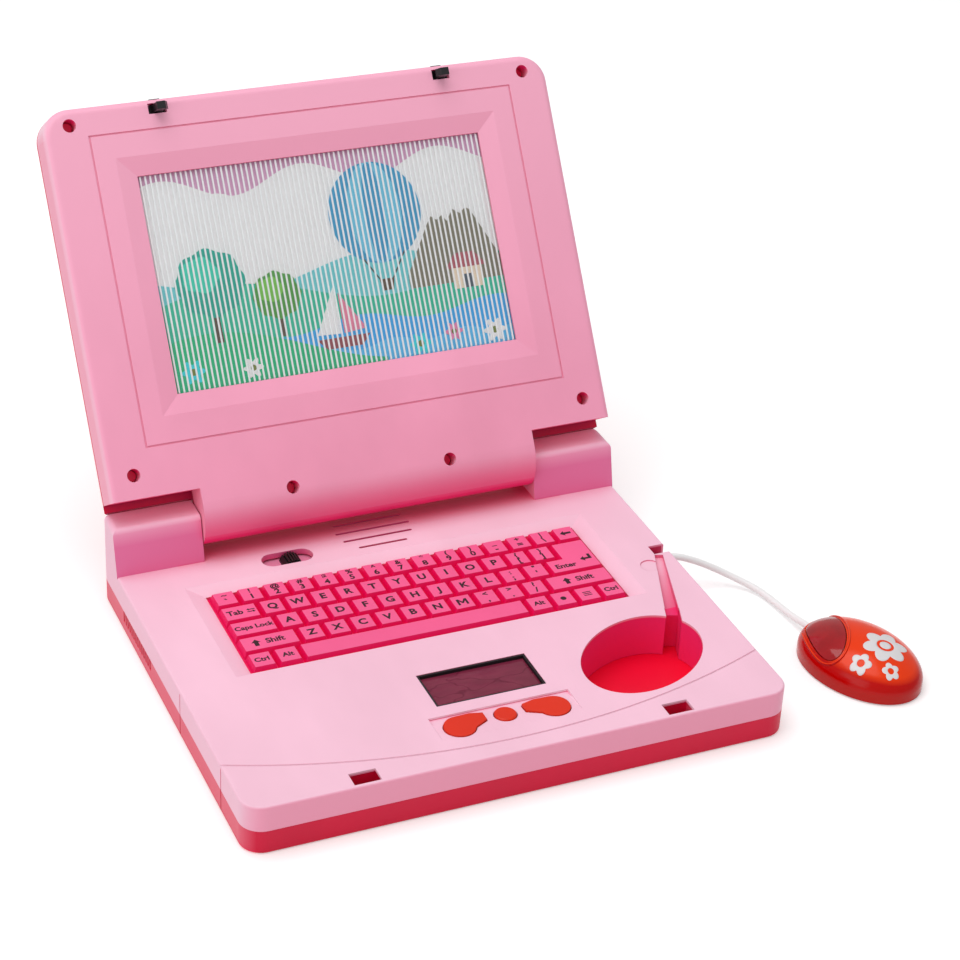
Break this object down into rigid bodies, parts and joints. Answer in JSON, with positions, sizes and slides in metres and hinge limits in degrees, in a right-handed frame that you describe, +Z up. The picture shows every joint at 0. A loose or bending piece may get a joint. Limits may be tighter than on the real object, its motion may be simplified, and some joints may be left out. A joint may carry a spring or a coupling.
{
  "type": "toy laptop computer",
  "caption": "Toy laptop in two-tone pink plastic: hinged lid with ribbed picture screen, keypad, push buttons, sliding latches, and a corded mouse with its own well.",
  "frame": {"origin": "centre of the base's flat underside", "axes": "+X to the right of someone at the keys, +Y to the back, +Z up"},
  "size_m": [0.3003, 0.2772, 0.1909],
  "materials": {
    "crimson": "satin moulded plastic",
    "deck_pink": "satin moulded plastic",
    "lid_pink": "satin moulded plastic",
    "key_pink": "soft satin moulding",
    "button_red": "glossy moulded plastic",
    "black": "satin moulded plastic",
    "tinted": "clear tinted plastic",
    "panel_grey": "display glass",
    "pad_grey": "soft rubber",
    "board": "brown circuit board",
    "plated": "plated steel",
    "paper": "coated paper",
    "magnet": "ferrite",
    "cell_wrap": "plain wrapped steel can",
    "cord_white": "soft white sheath",
    "ribbed_clear": "clear ribbed sheet",
    "print": "printed card",
    "backing_white": "plain moulded plastic",
    "mouse_red": "glossy moulded plastic",
    "lens_red": "clear dark red plastic",
    "lamp_red": "small lamp",
    "steel": "bright steel"
  },
  "bodies": {
    "base": {"lower_case": "crimson", "battery_cover": "crimson", "battery_cover_screw": "steel", "case_screws": "steel", "batteries": "cell_wrap", "battery_contacts": "plated", "battery_springs": "plated", "upper_deck": "deck_pink", "hinge_pin_left": "steel", "hinge_pin_right": "steel", "key_board": "board", "control_board": "board", "switch_board": "board", "board_screws": "steel", "display_frame": "black", "display_window": "tinted", "display_panel": "panel_grey", "button_pad": "pad_grey", "slide_switch": "plated", "speaker_frame": "plated", "speaker_cone": "paper", "speaker_magnet": "magnet", "cord_grommet": "cord_white", "mouse_cord": "cord_white"},
    "keypad": {"keypad": "key_pink"},
    "left_button": {"left_button": "button_red"},
    "centre_button": {"centre_button": "button_red"},
    "right_button": {"right_button": "button_red"},
    "power_knob": {"power_knob": "black"},
    "lid": {"lid_bezel": "lid_pink", "lid_cover": "crimson", "ribbed_screen": "ribbed_clear", "picture_card": "print", "card_backing": "backing_white", "screen_screws": "steel", "lid_screws": "steel", "latch_keepers": "backing_white", "keeper_screws": "steel"},
    "latch_left": {"latch_left": "black"},
    "latch_right": {"latch_right": "black"},
    "mouse": {"mouse_shell": "mouse_red", "mouse_base": "mouse_red", "mouse_board": "board", "mouse_switch": "black", "mouse_lamp": "lamp_red", "mouse_screw": "steel"},
    "mouse_button": {"mouse_button": "lens_red"}
  },
  "joints": [
    {"name": "lid_hinge", "type": "hinge", "parent": "base", "child": "lid", "pos_m": [0, 0.0814, 0.0358], "axis": [1, 0, 0], "range_deg": [-10, 124]},
    {"name": "keypad_press", "type": "slide", "parent": "base", "child": "keypad", "axis": [0, 0, -1], "range_m": [0, 0.0008], "stiffness_N_per_m": 3000, "springref_m": -0.001},
    {"name": "left_button_press", "type": "slide", "parent": "base", "child": "left_button", "axis": [0, 0, -1], "range_m": [0, 0.0007], "stiffness_N_per_m": 600, "springref_m": -0.001},
    {"name": "centre_button_press", "type": "slide", "parent": "base", "child": "centre_button", "axis": [0, 0, -1], "range_m": [0, 0.0007], "stiffness_N_per_m": 600, "springref_m": -0.001},
    {"name": "right_button_press", "type": "slide", "parent": "base", "child": "right_button", "axis": [0, 0, -1], "range_m": [0, 0.0007], "stiffness_N_per_m": 600, "springref_m": -0.001},
    {"name": "power_slide", "type": "slide", "parent": "base", "child": "power_knob", "axis": [1, 0, 0], "range_m": [-0.007, 0.003]},
    {"name": "latch_left_slide", "type": "slide", "parent": "lid", "child": "latch_left", "axis": [1, 0, 0], "range_m": [-0.002, 0.0016]},
    {"name": "latch_right_slide", "type": "slide", "parent": "lid", "child": "latch_right", "axis": [-1, 0, 0], "range_m": [-0.002, 0.0016]},
    {"name": "mouse_turn", "type": "hinge", "parent": "base", "child": "mouse", "pos_m": [0.15616, -0.03932, 0.0055], "axis": [0, 0, 1], "range_deg": [-25, 12]},
    {"name": "mouse_button_press", "type": "slide", "parent": "mouse", "child": "mouse_button", "axis": [0, 0, -1], "range_m": [0, 0.0007], "stiffness_N_per_m": 400, "springref_m": -0.001}
  ]
}
